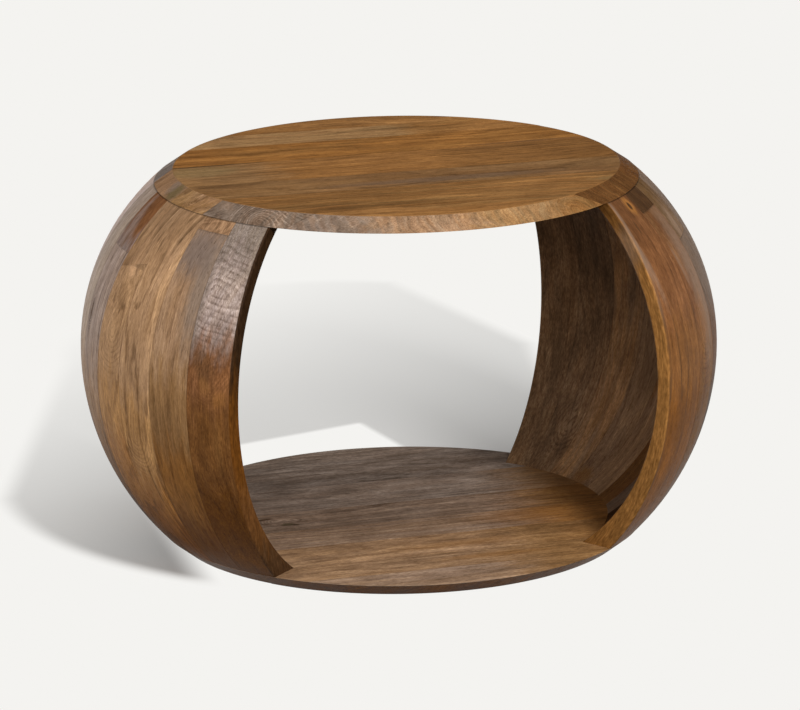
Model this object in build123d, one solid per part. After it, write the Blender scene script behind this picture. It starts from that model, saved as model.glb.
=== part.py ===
from build123d import *
import os
from math import asin, cos, degrees, radians, sin

# Drum table: a plank top and a plank base, joined by two bulging walls of upright staves.
#
# Millimetres and degrees. The origin is on the floor under the centre of the drum, +Z up.
# The open way runs right through along Y, with the front at -Y. The walls stand at -X (left)
# and +X (right). A bearing is an angle round the drum, from straight ahead (-Y) to either side.

# Overall form
TABLE_HEIGHT = 450.0
BELLY_RADIUS = 381.0  # the drum at its widest
BELLY_HEIGHT = 232.0  # of the widest place, above the floor

# Top and base discs
TOP_THICKNESS = 15.6
TOP_RIM_RADIUS = 288.0  # at the underside, where the walls meet it
TOP_FLAT_RADIUS = 265.0  # inside the bevel
BASE_THICKNESS = 16.4
BASE_RIM_RADIUS = 292.0  # at the upper face, where the walls stand
BASE_FOOT_RADIUS = 271.0  # on the floor
DISC_ARRIS = 1.5  # rounding of the upper edge of the top and the lower edge of the base

# Plank joints, each as its distance from the centre of the disc, from the front to the back
TOP_JOINTS = (-216.0, -116.0, -42.0, 60.5, 146.0, 208.0)
TOP_GRAIN_TURN = 2.5  # the planks run along X, turned by this much
BASE_JOINTS = (-228.0, -172.0, -97.5, -28.0, 47.0, 143.0)
BASE_GRAIN_TURN = 4.0

# Wall thickness, measured level, from the drum's surface inwards
WALL_AT_TOP = 26.0
WALL_AT_BELLY = 19.0
WALL_AT_BASE = 43.0
WALL_ARRIS = 2.5  # rounding along the edges of the opening

# The opening, as the bearing at which the walls begin and end
FRONT_OPENING_BEARING = 42.8
BACK_OPENING_BEARING = 42.0

# The right wall's edges are cut a little askew: turned out of the radial plane, and leant back
FRONT_RAKE_TURN = 8.0
FRONT_RAKE_LEAN = 0.5
BACK_RAKE_LEAN = 2.2

# Staves, numbered from the front edge of each wall
STAVES_PER_WALL = 10
RIGHT_FRONT_STAVE_ANGLE = 12.7  # wider than the others

# Staves that are made of two blocks, and the height of each one's upper block
LEFT_SPLIT_STAVES = (2, 4, 5, 8)
LEFT_UPPER_BLOCK_HEIGHTS = (13.0, 66.0, 58.0, 92.0)
RIGHT_SPLIT_STAVES = (2, 3, 6, 9)
RIGHT_UPPER_BLOCK_HEIGHTS = (22.0, 63.0, 118.0, 47.0)

# Dowels, one at each end of each stave, set along the slope of the wall
DOWEL_RADIUS = 4.0
DOWEL_IN_DISC = 11.0
DOWEL_IN_STAVE = 25.0
DOWEL_SIDE_GAP = 0.1  # glue line round a dowel
DOWEL_END_GAP = 0.5  # glue pocket past each end of a dowel
RAKED_STAVE_DOWEL_SHIFT = 2.0  # moves the dowels of the askew front stave away from its cut edge

# Worked out from the above
WALL_TOP = TABLE_HEIGHT - TOP_THICKNESS
LEFT = -1
RIGHT = 1
SIDE_NAMES = {LEFT: "left", RIGHT: "right"}
UPPER_BLOCK_HEIGHTS = {
    LEFT: dict(zip(LEFT_SPLIT_STAVES, LEFT_UPPER_BLOCK_HEIGHTS)),
    RIGHT: dict(zip(RIGHT_SPLIT_STAVES, RIGHT_UPPER_BLOCK_HEIGHTS)),
}


def direction(side, bearing):
    """Unit vector, seen from above, that points at a bearing on one side of the drum."""
    return Vector(side * sin(radians(bearing)), -cos(radians(bearing)), 0)


def stave_bearings(side):
    """Bearings of the joints between the staves of a wall, with its front and back edges."""
    front = FRONT_OPENING_BEARING
    back = 180 - BACK_OPENING_BEARING
    if side == LEFT:
        step = (back - front) / STAVES_PER_WALL
        return [front + step * i for i in range(STAVES_PER_WALL + 1)]
    second = front + RIGHT_FRONT_STAVE_ANGLE
    step = (back - second) / (STAVES_PER_WALL - 1)
    return [front] + [second + step * i for i in range(STAVES_PER_WALL)]


def wall_lean(end_radius, belly_radius, rise):
    """Angle from upright of a wall face at its end, where it has curved in over the rise."""
    inset = belly_radius - end_radius
    arc_radius = (inset**2 + rise**2) / (2 * inset)
    return degrees(asin(rise / arc_radius))


def wall_section():
    """Upright section through a wall: each face is two arcs that meet upright at the belly."""
    inner_belly_radius = BELLY_RADIUS - WALL_AT_BELLY
    outer_top = (TOP_RIM_RADIUS, WALL_TOP)
    outer_belly = (BELLY_RADIUS, BELLY_HEIGHT)
    outer_base = (BASE_RIM_RADIUS, BASE_THICKNESS)
    inner_top = (TOP_RIM_RADIUS - WALL_AT_TOP, WALL_TOP)
    inner_belly = (inner_belly_radius, BELLY_HEIGHT)
    inner_base = (BASE_RIM_RADIUS - WALL_AT_BASE, BASE_THICKNESS)
    outline = [
        TangentArc(outer_belly, outer_top, tangent=(0, 1)),
        Line(outer_top, inner_top),
        TangentArc(inner_belly, inner_top, tangent=(0, 1)),
        TangentArc(inner_belly, inner_base, tangent=(0, -1)),
        Line(inner_base, outer_base),
        TangentArc(outer_belly, outer_base, tangent=(0, -1)),
    ]
    return Plane.XZ * make_face(outline)


def wall_sector(side, from_bearing, to_bearing):
    """Piece of wall between two bearings, with upright radial sides."""
    turns = sorted(side * bearing - 90 for bearing in (from_bearing, to_bearing))
    sector = revolve(wall_section(), axis=Axis.Z, revolution_arc=turns[1] - turns[0])
    return Rot(0, 0, turns[0]) * sector


def raked_plane(bearing, into_wall_bearing, lean):
    """An askew cut through the belly at a bearing, leant back. The wall lies on its positive side."""
    on_belly = direction(RIGHT, bearing) * BELLY_RADIUS + Vector(0, 0, BELLY_HEIGHT)
    into_wall = direction(RIGHT, into_wall_bearing)
    normal = into_wall * cos(radians(lean)) + Vector(0, 0, sin(radians(lean)))
    return Plane(origin=on_belly, z_dir=normal)


def is_raked(side, number):
    """Whether a stave has an askew edge."""
    return side == RIGHT and number in (1, STAVES_PER_WALL)


def stave_body(side, number):
    """One whole stave, before it is cut into blocks and drilled."""
    bearings = stave_bearings(side)
    front = bearings[number - 1]
    back = bearings[number]
    if not is_raked(side, number):
        return wall_sector(side, front, back)
    if number == 1:
        spare = FRONT_RAKE_TURN + FRONT_RAKE_LEAN
        cut = raked_plane(front, front - FRONT_RAKE_TURN + 90, -FRONT_RAKE_LEAN)
        return split(wall_sector(side, front - spare, back), cut, keep=Keep.TOP)
    spare = 2 * BACK_RAKE_LEAN
    cut = raked_plane(back, back - 90, BACK_RAKE_LEAN)
    return split(wall_sector(side, front, back + spare), cut, keep=Keep.TOP)


def soften_opening_edge(stave, side, number):
    """Rounds the long edges of a stave where it borders the opening."""
    if number not in (1, STAVES_PER_WALL):
        return stave
    towards_opening = direction(side, 0 if number == 1 else 180)
    cut_face = stave.faces().sort_by(lambda face: face.normal_at().dot(towards_opening))[-1]
    long_edges = cut_face.edges().filter_by(GeomType.LINE, reverse=True)
    return fillet(long_edges, WALL_ARRIS)


def dowel_frames(side, at_top):
    """Placings of a wall's dowels at one end, on the joint, with Z along the wall's slope."""
    if at_top:
        outer_radius, width, joint_height = TOP_RIM_RADIUS, WALL_AT_TOP, WALL_TOP
    else:
        outer_radius, width, joint_height = BASE_RIM_RADIUS, WALL_AT_BASE, BASE_THICKNESS
    rise = abs(joint_height - BELLY_HEIGHT)
    outer_lean = wall_lean(outer_radius, BELLY_RADIUS, rise)
    inner_lean = wall_lean(outer_radius - width, BELLY_RADIUS - WALL_AT_BELLY, rise)
    lean = radians((outer_lean + inner_lean) / 2)
    upright = Vector(0, 0, -1 if at_top else 1)
    bearings = stave_bearings(side)
    frames = []
    for i in range(STAVES_PER_WALL):
        middle = (bearings[i] + bearings[i + 1]) / 2
        if side == RIGHT and i == 0:
            middle += RAKED_STAVE_DOWEL_SHIFT
        outward = direction(side, middle)
        origin = outward * (outer_radius - width / 2) + Vector(0, 0, joint_height)
        frames.append(Plane(origin=origin, z_dir=outward * sin(lean) + upright * cos(lean)))
    return frames


def dowels(side, at_top, side_gap=0.0, end_gap=0.0):
    """A wall's dowels at one end, or with gaps added, the holes that take them."""
    radius = DOWEL_RADIUS + side_gap
    length = DOWEL_IN_DISC + DOWEL_IN_STAVE + 2 * end_gap
    middle = (DOWEL_IN_STAVE - DOWEL_IN_DISC) / 2
    return [frame * Pos(0, 0, middle) * Cylinder(radius, length) for frame in dowel_frames(side, at_top)]


def dowel_holes(side, at_top):
    """The holes for one wall's dowels at one end."""
    return dowels(side, at_top, DOWEL_SIDE_GAP, DOWEL_END_GAP)


def slab(low, high):
    """A level slice of space, wider than the drum."""
    width = 3 * BELLY_RADIUS
    return Pos(0, 0, (low + high) / 2) * Box(width, width, high - low)


def wall_parts(side):
    """Every stave of a wall by its node's name, drilled for its dowels and cut into its blocks."""
    parts = {}
    top_holes = dowel_holes(side, at_top=True)
    base_holes = dowel_holes(side, at_top=False)
    for number in range(1, STAVES_PER_WALL + 1):
        name = f"{SIDE_NAMES[side]}_stave_{number}"
        stave = soften_opening_edge(stave_body(side, number), side, number)
        stave = stave - [top_holes[number - 1], base_holes[number - 1]]
        if number in UPPER_BLOCK_HEIGHTS[side]:
            cross_joint = WALL_TOP - UPPER_BLOCK_HEIGHTS[side][number]
            parts[name + "_upper"] = stave & slab(cross_joint, TABLE_HEIGHT)
            parts[name + "_lower"] = stave & slab(0, cross_joint)
        else:
            parts[name] = stave
    return parts


def top_disc():
    """The whole top, with a bevel that carries on the curve of the walls."""
    corners = [(0, WALL_TOP), (TOP_RIM_RADIUS, WALL_TOP), (TOP_FLAT_RADIUS, TABLE_HEIGHT), (0, TABLE_HEIGHT)]
    disc = revolve(Plane.XZ * make_face(Polyline(corners, close=True)), axis=Axis.Z)
    return fillet(disc.faces().sort_by(Axis.Z)[-1].edges(), DISC_ARRIS)


def base_disc():
    """The whole base, with a rim that slopes in to the floor."""
    corners = [(0, 0), (BASE_FOOT_RADIUS, 0), (BASE_RIM_RADIUS, BASE_THICKNESS), (0, BASE_THICKNESS)]
    disc = revolve(Plane.XZ * make_face(Polyline(corners, close=True)), axis=Axis.Z)
    return fillet(disc.faces().sort_by(Axis.Z)[0].edges(), DISC_ARRIS)


def plank_parts(prefix, disc, joints, grain_turn, at_top):
    """The planks of a disc by node name, sawn along its joints and drilled for both walls' dowels."""
    holes = dowel_holes(LEFT, at_top) + dowel_holes(RIGHT, at_top)
    drilled = disc - holes
    limits = [-BELLY_RADIUS, *joints, BELLY_RADIUS]
    parts = {}
    for number, (front, back) in enumerate(zip(limits, limits[1:]), start=1):
        strip = Pos(0, (front + back) / 2, 0) * Box(3 * BELLY_RADIUS, back - front, 3 * TABLE_HEIGHT)
        parts[f"{prefix}_plank_{number}"] = drilled & (Rot(0, 0, grain_turn) * strip)
    return parts


def dowel_parts():
    """The four groups of dowels."""
    parts = {}
    for side, side_name in SIDE_NAMES.items():
        for end_name, at_top in (("top", True), ("base", False)):
            parts[f"{side_name}_{end_name}_dowels"] = Compound(children=dowels(side, at_top))
    return parts


parts = {}
parts.update(plank_parts("top", top_disc(), TOP_JOINTS, TOP_GRAIN_TURN, at_top=True))
parts.update(plank_parts("base", base_disc(), BASE_JOINTS, BASE_GRAIN_TURN, at_top=False))
parts.update(wall_parts(LEFT))
parts.update(wall_parts(RIGHT))
parts.update(dowel_parts())

os.makedirs("parts", exist_ok=True)
for name, part in parts.items():
    export_step(part, f"parts/{name}.step")
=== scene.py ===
"""Dresses the drum table in stained mango wood: a plank top, a plank base and two stave walls."""

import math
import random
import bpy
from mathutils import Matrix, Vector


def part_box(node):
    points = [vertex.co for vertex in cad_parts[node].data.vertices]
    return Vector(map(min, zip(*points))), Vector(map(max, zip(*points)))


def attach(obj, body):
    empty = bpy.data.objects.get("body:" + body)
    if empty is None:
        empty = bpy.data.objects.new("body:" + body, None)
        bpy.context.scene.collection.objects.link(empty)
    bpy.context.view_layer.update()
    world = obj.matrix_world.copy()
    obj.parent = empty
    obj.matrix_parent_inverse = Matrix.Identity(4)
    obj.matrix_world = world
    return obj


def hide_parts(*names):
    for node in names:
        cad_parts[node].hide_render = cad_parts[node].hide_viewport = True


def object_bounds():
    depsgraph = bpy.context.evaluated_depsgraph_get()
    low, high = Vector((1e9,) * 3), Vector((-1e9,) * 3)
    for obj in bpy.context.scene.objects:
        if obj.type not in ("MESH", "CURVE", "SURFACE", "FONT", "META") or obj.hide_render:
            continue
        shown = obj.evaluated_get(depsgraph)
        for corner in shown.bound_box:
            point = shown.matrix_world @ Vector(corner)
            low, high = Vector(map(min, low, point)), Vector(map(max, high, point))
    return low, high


bl_info = {
    "name": "Drum Table",
    "version": (1, 0, 0),
    "blender": (4, 5, 0),
    "location": "View3D > Sidebar > Drum Table",
    "description": "Makes the planks and staves of a drum table, and the studio round it",
    "category": "Add Mesh",
}

import bpy
import numpy as np
from bpy.props import FloatProperty, FloatVectorProperty, PointerProperty
from mathutils import Matrix, Vector

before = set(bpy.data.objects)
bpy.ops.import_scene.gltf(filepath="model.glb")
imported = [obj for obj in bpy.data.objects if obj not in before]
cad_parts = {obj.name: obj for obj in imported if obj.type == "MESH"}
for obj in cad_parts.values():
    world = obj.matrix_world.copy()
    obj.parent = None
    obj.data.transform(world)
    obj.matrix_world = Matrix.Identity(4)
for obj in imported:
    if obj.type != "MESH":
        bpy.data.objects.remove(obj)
CAD_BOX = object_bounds()

# ---------------------------------------------------------------- the table's layout, in metres

LEFT, RIGHT = -1, 1
SIDE_NAMES = {LEFT: "left", RIGHT: "right"}
MM = 0.001

BASE_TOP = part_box("base_plank_1")[1].z
WALL_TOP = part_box("top_plank_1")[0].z
TABLE_TOP = CAD_BOX[1].z
BELLY_RADIUS = min(-CAD_BOX[0].x, CAD_BOX[1].x)
TOP_RIM = -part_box("top_plank_1")[0].y
BASE_RIM = -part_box("base_plank_1")[0].y

# Plank joints, each as its distance from the centre of the disc
TOP_JOINTS = (-0.216, -0.116, -0.042, 0.0605, 0.146, 0.208)
BASE_JOINTS = (-0.228, -0.172, -0.0975, -0.028, 0.047, 0.143)

# Staves of two blocks, each with the height of its upper block
STAVES_PER_WALL = 10
UPPER_BLOCKS = {
    LEFT: {2: 0.013, 4: 0.066, 5: 0.058, 8: 0.092},
    RIGHT: {2: 0.022, 3: 0.063, 6: 0.118, 9: 0.047},
}

# ---------------------------------------------------------------- settings


def length(name, description, default):
    """A length in metres."""
    return FloatProperty(
        name=name, description=description, default=default, min=0.0, unit="LENGTH"
    )


def angle(name, description, degrees):
    """An angle, whose default is given in degrees."""
    return FloatProperty(
        name=name, description=description, default=math.radians(degrees), subtype="ANGLE"
    )


def colour(name, description, default):
    """A linear colour."""
    return FloatVectorProperty(
        name=name, description=description, default=default, min=0.0, max=1.0, subtype="COLOR"
    )


def share(name, description, default):
    """A share from 0 to 1."""
    return FloatProperty(
        name=name, description=description, default=default, min=0.0, max=1.0, subtype="FACTOR"
    )


def amount(name, description, default):
    """A plain number of zero or more."""
    return FloatProperty(name=name, description=description, default=default, min=0.0)


class DrumTableSizes(bpy.types.PropertyGroup):
    """Sizes of the table"""

    belly_radius: length("Belly radius", "Half the drum's widest diameter", BELLY_RADIUS)
    belly_height: length("Belly height", "Height of the widest place above the floor", 0.232)
    top_rim: length("Top rim radius", "Radius of the underside of the top", TOP_RIM)
    top_flat: length("Top flat radius", "Radius of the flat inside the bevel", 0.265)
    base_rim: length("Base rim radius", "Radius of the base's upper face", BASE_RIM)
    base_foot: length("Base foot radius", "Radius of the base on the floor", 0.271)
    wall_at_top: length("Wall at the top", "Level thickness of a wall under the top", 0.026)
    wall_at_belly: length("Wall at the belly", "Level thickness of a wall at its widest", 0.019)
    wall_at_base: length("Wall at the base", "Level thickness of a wall on the base", 0.043)
    opening_arris: length("Opening arris", "Rounding along the edges of the opening", 0.0025)
    disc_arris: length("Disc arris", "Rounding of the outer edges of top and base", 0.0015)
    joint_arris: length("Joint arris", "Fine rounding along the glued joints", 0.0004)
    unevenness: length("Unevenness", "Depth of the hollows left by hand sanding", 0.0005)
    front_bearing: angle("Front opening", "Bearing at which the walls begin", 42.8)
    back_bearing: angle("Back opening", "Bearing from the back at which the walls end", 42.0)
    wide_stave: angle("Wide stave", "Angle taken by the right wall's front stave", 12.7)
    front_rake_turn: angle("Front rake turn", "Turn of the right wall's front cut", 8.0)
    front_rake_lean: angle("Front rake lean", "Lean back of the right wall's front cut", 0.5)
    back_rake_lean: angle("Back rake lean", "Lean back of the right wall's back cut", 2.2)
    top_turn: angle("Top grain turn", "Turn of the top's planks", 2.5)
    base_turn: angle("Base grain turn", "Turn of the base's planks", 4.0)


class DrumTableStains(bpy.types.PropertyGroup):
    """Stain colours, each a board's middle tone; some also give painted sheen, highlight and
    reflection
    """

    golden: colour("Golden", "Golden-brown stain", (0.250, 0.112, 0.033))
    amber: colour("Amber", "Orange-brown stain", (0.262, 0.109, 0.026))
    honey: colour("Honey", "Light golden-orange stain", (0.400, 0.180, 0.048))
    tan: colour("Tan", "Tan stain", (0.290, 0.152, 0.060))
    sand: colour("Sand", "Light sandy stain", (0.360, 0.209, 0.110))
    grey: colour("Grey", "Greyed brown stain", (0.176, 0.088, 0.034))
    ash: colour("Ash", "Pinkish grey-brown stain", (0.245, 0.158, 0.104))
    slate: colour("Slate", "Cool grey-brown stain", (0.205, 0.153, 0.119))
    plum: colour("Plum", "Purple-grey stain", (0.300, 0.220, 0.180))
    umber: colour("Umber", "Dark umber stain", (0.100, 0.047, 0.019))
    russet: colour("Russet", "Red-brown stain", (0.190, 0.076, 0.021))
    chestnut: colour("Chestnut", "Deep red-orange stain", (0.190, 0.066, 0.010))
    brick: colour("Brick", "Dull dark red stain", (0.180, 0.072, 0.026))
    walnut: colour("Walnut", "Dull dark brown stain", (0.106, 0.061, 0.031))
    olive: colour("Olive", "Grey-green stain", (0.130, 0.092, 0.040))
    # On the front of the top's bevel this stain is partly painted highlight
    copper: colour("Copper", "Pink copper of sawn ends", (0.300, 0.166, 0.085))
    dowel: colour("Dowel", "Bare dowel wood", (0.480, 0.300, 0.140))


class DrumTableStudio(bpy.types.PropertyGroup):
    """Camera, floor and light"""

    floor_colour: colour("Floor colour", "Colour of the pale floor", (0.905, 0.896, 0.871))
    room_light: amount("Room light", "Light from all around, without the lamps", 0.38)
    ceiling_light: amount("Ceiling light", "Light from straight above", 0.58)
    dark_behind: share("Dark behind", "Share of the room's light missing behind the table", 0.85)
    key_power: amount("Key power", "Power of the key lamp at the right, in watts", 41.0)
    key_width: length("Key width", "Width of the key lamp", 0.42)
    key_distance: length("Key distance", "From the middle of the table to the key lamp", 2.44)
    key_azimuth: angle("Key azimuth", "Bearing of the key lamp, to the right above zero", 15.7)
    key_elevation: angle("Key elevation", "Height angle of the key lamp", 30.5)
    fill_strength: amount("Fill strength", "Soft lamp at the left, lighting only the table", 1.3)
    fill_angle: angle("Fill angle", "Width of the soft lamp", 70.0)
    fill_azimuth: angle("Fill azimuth", "Bearing of the soft lamp", -85.0)
    fill_elevation: angle("Fill elevation", "Height angle of the soft lamp", 38.0)
    shadow_depth: share("Shadow depth", "Share of the floor shadow kept under the table", 0.96)
    floor_bounce: share("Floor bounce", "Grey of the floor as the undersides see it", 0.35)
    camera_distance: length("Camera distance", "From the camera to the point aimed at", 6.259)
    camera_azimuth: angle("Camera azimuth", "Bearing of the camera, to the left below zero", -12.4)
    camera_elevation: angle("Camera elevation", "Height angle of the camera", 15.016)
    camera_roll: angle("Camera roll", "Turn of the picture", 0.839)
    aim_height: length("Aim height", "Height of the point the camera looks at", 0.2145)
    focal_length: amount("Focal length", "In millimetres on a 36 mm wide sensor", 234.75)


# ---------------------------------------------------------------- node sums


class Value:
    """A node's output, with the usual signs, each of which adds a Math node to its tree."""

    def __init__(self, tree, socket):
        self.tree = tree
        self.socket = socket

    def of(self, operation, *others):
        """Any sum, such as SINE or MINIMUM."""
        return maths(self.tree, operation, self, *others)

    def __add__(self, other):
        return self.of("ADD", other)

    __radd__ = __add__

    def __sub__(self, other):
        return self.of("SUBTRACT", other)

    def __rsub__(self, other):
        return maths(self.tree, "SUBTRACT", other, self)

    def __mul__(self, other):
        return self.of("MULTIPLY", other)

    __rmul__ = __mul__

    def __truediv__(self, other):
        return self.of("DIVIDE", other)

    def __gt__(self, other):
        return self.of("GREATER_THAN", other)

    def __lt__(self, other):
        return self.of("LESS_THAN", other)

    def swing(self, width):
        """A noise moved so that it swings about zero, over that width."""
        return (self - 0.5) * width

    def ramp(self, low, high):
        """0 below low, 1 above high, and smooth between; low may be above high."""
        inputs = {"Value": self, "From Min": low, "From Max": high}
        smooth = {"interpolation_type": "SMOOTHSTEP"}
        return add_node(self.tree, "ShaderNodeMapRange", inputs, **smooth)["Result"]


class Outputs:
    """A node's outputs by name or number."""

    def __init__(self, tree, node):
        self.tree = tree
        self.node = node

    def __getitem__(self, key):
        return Value(self.tree, self.node.outputs[key])


def put(tree, value, socket):
    """Links a value into a socket, or sets the socket to a number."""
    if isinstance(value, Value):
        tree.links.new(value.socket, socket)
    else:
        socket.default_value = value


def add_node(tree, kind, inputs=None, **settings):
    """Adds a node, sets it up and fills its inputs."""
    node = tree.nodes.new(kind)
    for name, setting in settings.items():
        setattr(node, name, setting)
    for key, value in (inputs or {}).items():
        put(tree, value, node.inputs[key])
    return Outputs(tree, node)


def maths(tree, operation, *values):
    """One Math node."""
    return add_node(tree, "ShaderNodeMath", dict(enumerate(values)), operation=operation)[0]


def vector_maths(tree, operation, *values, output=0):
    """One Vector Math node."""
    inputs = dict(enumerate(values))
    return add_node(tree, "ShaderNodeVectorMath", inputs, operation=operation)[output]


def vector_length(tree, vector):
    """The length of a vector."""
    return vector_maths(tree, "LENGTH", vector, output="Value")


def scaled_vector(tree, vector, factor):
    """A vector or colour times a number."""
    inputs = {0: vector, "Scale": factor}
    return add_node(tree, "ShaderNodeVectorMath", inputs, operation="SCALE")[0]


def split_vector(vector):
    """The three numbers of a vector."""
    parts = add_node(vector.tree, "ShaderNodeSeparateXYZ", {0: vector})
    return parts["X"], parts["Y"], parts["Z"]


def join_vector(tree, x, y, z):
    """A vector of three numbers."""
    return add_node(tree, "ShaderNodeCombineXYZ", {"X": x, "Y": y, "Z": z})[0]


# For each kind of Mix node, its two inputs and its output
MIX_SOCKETS = {"VECTOR": (4, 5, 1), "RGBA": (6, 7, 2)}


def mix(tree, factor, first, second, kind="RGBA"):
    """A blend of two colours, or of two vectors, with the factor held from 0 to 1."""
    first_socket, second_socket, output = MIX_SOCKETS[kind]
    inputs = {0: factor, first_socket: first, second_socket: second}
    return add_node(tree, "ShaderNodeMix", inputs, data_type=kind, clamp_factor=True)[output]


def socket_type(default):
    """The type of socket for a default: a number, a vector, a colour, or None for a material."""
    if default is None:
        return "NodeSocketMaterial"
    if isinstance(default, (int, float)):
        return "NodeSocketInt" if isinstance(default, int) else "NodeSocketFloat"
    return "NodeSocketVector" if len(default) == 3 else "NodeSocketColor"


def new_tree(name, kind, inputs, outputs):
    """An empty node group with named inputs and their defaults, and named outputs."""
    tree = bpy.data.node_groups.new(name, kind)
    for socket_name, default in inputs.items():
        socket = tree.interface.new_socket(
            name=socket_name, in_out="INPUT", socket_type=socket_type(default)
        )
        if default is not None:
            socket.default_value = default
    for socket_name, output_type in outputs.items():
        tree.interface.new_socket(name=socket_name, in_out="OUTPUT", socket_type=output_type)
    return tree, add_node(tree, "NodeGroupInput"), tree.nodes.new("NodeGroupOutput")


def named_tree(name, make):
    """The node group of that name, made on first use."""
    return bpy.data.node_groups.get(name) or make()


# ---------------------------------------------------------------- shape of the staves


def wall_faces(sizes):
    """For the outer and the inner face of a wall: its radius at the belly, the top and the base."""
    outer = (sizes.belly_radius, sizes.top_rim, sizes.base_rim)
    walls = (sizes.wall_at_belly, sizes.wall_at_top, sizes.wall_at_base)
    return outer, tuple(radius - wall for radius, wall in zip(outer, walls))


def face_radius(height, face, belly_height):
    """Radius of a wall face at a height: two arcs that meet upright at the belly."""
    belly, top, base = face
    above = height > belly_height
    inset = belly - np.where(above, top, base)
    rise = np.where(above, WALL_TOP - belly_height, belly_height - BASE_TOP)
    arc = (inset**2 + rise**2) / (2 * inset)
    return belly - arc + np.sqrt(np.maximum(arc**2 - (height - belly_height) ** 2, 0))


def face_radius_nodes(height, belly_height, belly, top, base):
    """The same radius as node sums."""
    above = height > belly_height
    end = base + (top - base) * above
    low_rise = belly_height - BASE_TOP
    high_rise = WALL_TOP - belly_height
    rise = low_rise + (high_rise - low_rise) * above
    inset = belly - end
    arc = (inset * inset + rise * rise) / (inset * 2.0)
    off_belly = height - belly_height
    return belly - arc + (arc * arc - off_belly * off_belly).of("MAXIMUM", 0.0).of("SQRT")


STAVE_INPUTS = {
    "Side": 1.0, "Front bearing": 0.75, "Back bearing": 0.9, "Front rake turn": 0.0,
    "Front rake lean": 0.0, "Back rake lean": 0.0, "Low": 0.0164, "High": 0.4344,
    "Low slant": 0.0, "High slant": 0.0, "Belly height": 0.232,
    "Outer belly": 0.381, "Outer top": 0.288, "Outer base": 0.292,
    "Inner belly": 0.362, "Inner top": 0.262, "Inner base": 0.249,
    "Unevenness": 0.0005, "Joint arris": 0.0004, "Front arris": 0.0004, "Back arris": 0.0004,
    "Widest arris": 0.0025, "Cells up": 40, "Wood": None,
}
FACES = ("Outer", "Inner")
HEIGHTS = ("belly", "top", "base")
CELLS_ACROSS = 10
CELLS_THROUGH = 2
CELL_HEIGHT = 0.009
HOLLOWS_PER_METRE = 13.0
SHARP = math.radians(25)
AT_EDGE = 0.001
QUARTER_TURN = math.pi / 2


def finish_tree(tree, result, geometry, material, arris_weight):
    """Ends a tree: marks the edges to be rounded, shades smooth, realizes and sets the wood."""
    sharp = add_node(tree, "GeometryNodeInputMeshEdgeAngle")["Unsigned Angle"] > SHARP
    marks = {"Geometry": geometry, "Name": "bevel_weight_edge", "Value": sharp * arris_weight}
    per_edge = {"data_type": "FLOAT", "domain": "EDGE"}
    shape = add_node(tree, "GeometryNodeStoreNamedAttribute", marks, **per_edge)[0]
    shape = add_node(tree, "GeometryNodeSetShadeSmooth", {"Geometry": shape})[0]
    shape = add_node(tree, "GeometryNodeRealizeInstances", {"Geometry": shape})[0]
    wood = {"Geometry": shape, "Material": material}
    put(tree, add_node(tree, "GeometryNodeSetMaterial", wood)[0], result.inputs[0])


def stave_tree():
    """Tree that bends a block of cells into one stave, or part of one, of a bulging wall."""
    tree, given, result = new_tree(
        "Barrel stave", "GeometryNodeTree", STAVE_INPUTS, {"Stave": "NodeSocketGeometry"}
    )
    cells = {
        "Size": (1, 1, 1),
        "Vertices X": CELLS_ACROSS + 1,
        "Vertices Y": CELLS_THROUGH + 1,
        "Vertices Z": given["Cells up"],
    }
    block = add_node(tree, "GeometryNodeMeshCube", cells)[0]
    across, through, up = split_vector(add_node(tree, "GeometryNodeInputPosition")[0])
    across = 0.5 - across * given["Side"]
    through = through + 0.5
    up = up + 0.5
    cell = {"Geometry": block, "Name": "cell", "Value": join_vector(tree, across, through, up)}
    per_point = {"data_type": "FLOAT_VECTOR", "domain": "POINT"}
    kept = add_node(tree, "GeometryNodeStoreNamedAttribute", cell, **per_point)[0]

    low = given["Low"] + given["Low slant"] * (across - 0.5)
    high = given["High"] + given["High slant"] * (across - 0.5)
    height = low + (high - low) * up
    belly_height = given["Belly height"]
    outer, inner = (
        face_radius_nodes(height, belly_height, *(given[f"{face} {place}"] for place in HEIGHTS))
        for face in FACES
    )
    radius = inner + (outer - inner) * through

    # Bearings of the two sides, each an upright plane, turned or leant for an askew cut
    off_belly = height - belly_height
    into_wall = given["Front bearing"] + QUARTER_TURN - given["Front rake turn"]
    at_belly = given["Outer belly"] * (given["Front bearing"] - into_wall).of("COSINE")
    leant = given["Front rake lean"].of("TANGENT") * off_belly
    front = into_wall - ((at_belly + leant) / radius).of("ARCCOSINE")
    leant = given["Back rake lean"].of("TANGENT") * off_belly
    back = given["Back bearing"] - QUARTER_TURN + (0.0 - leant / radius).of("ARCCOSINE")
    bearing = front + (back - front) * across

    def at(distance):
        """The place at this bearing and height, at a distance from the table's axis."""
        x = given["Side"] * distance * bearing.of("SINE")
        return join_vector(tree, x, 0.0 - distance * bearing.of("COSINE"), height)

    hollows = {"Vector": at(radius), "Scale": HOLLOWS_PER_METRE, "Detail": 1.0, "Roughness": 0.4}
    sanding = add_node(tree, "ShaderNodeTexNoise", hollows)[0]
    sanded = radius - (through * 2.0 - 1.0) * given["Unevenness"] * sanding
    bent = add_node(tree, "GeometryNodeSetPosition", {"Geometry": kept, "Position": at(sanded)})

    vector = {"data_type": "FLOAT_VECTOR"}
    cell = add_node(tree, "GeometryNodeInputNamedAttribute", {"Name": "cell"}, **vector)
    across, _, up = split_vector(cell[0])
    long_edge = (up > AT_EDGE) * (up < 1.0 - AT_EDGE)
    front_edge = (across < AT_EDGE) * long_edge
    back_edge = (across > 1.0 - AT_EDGE) * long_edge
    joint = given["Joint arris"]
    arris = joint + (given["Front arris"] - joint) * front_edge
    arris = arris + (given["Back arris"] - joint) * back_edge
    finish_tree(tree, result, bent[0], given["Wood"], arris / given["Widest arris"])
    return tree


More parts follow.
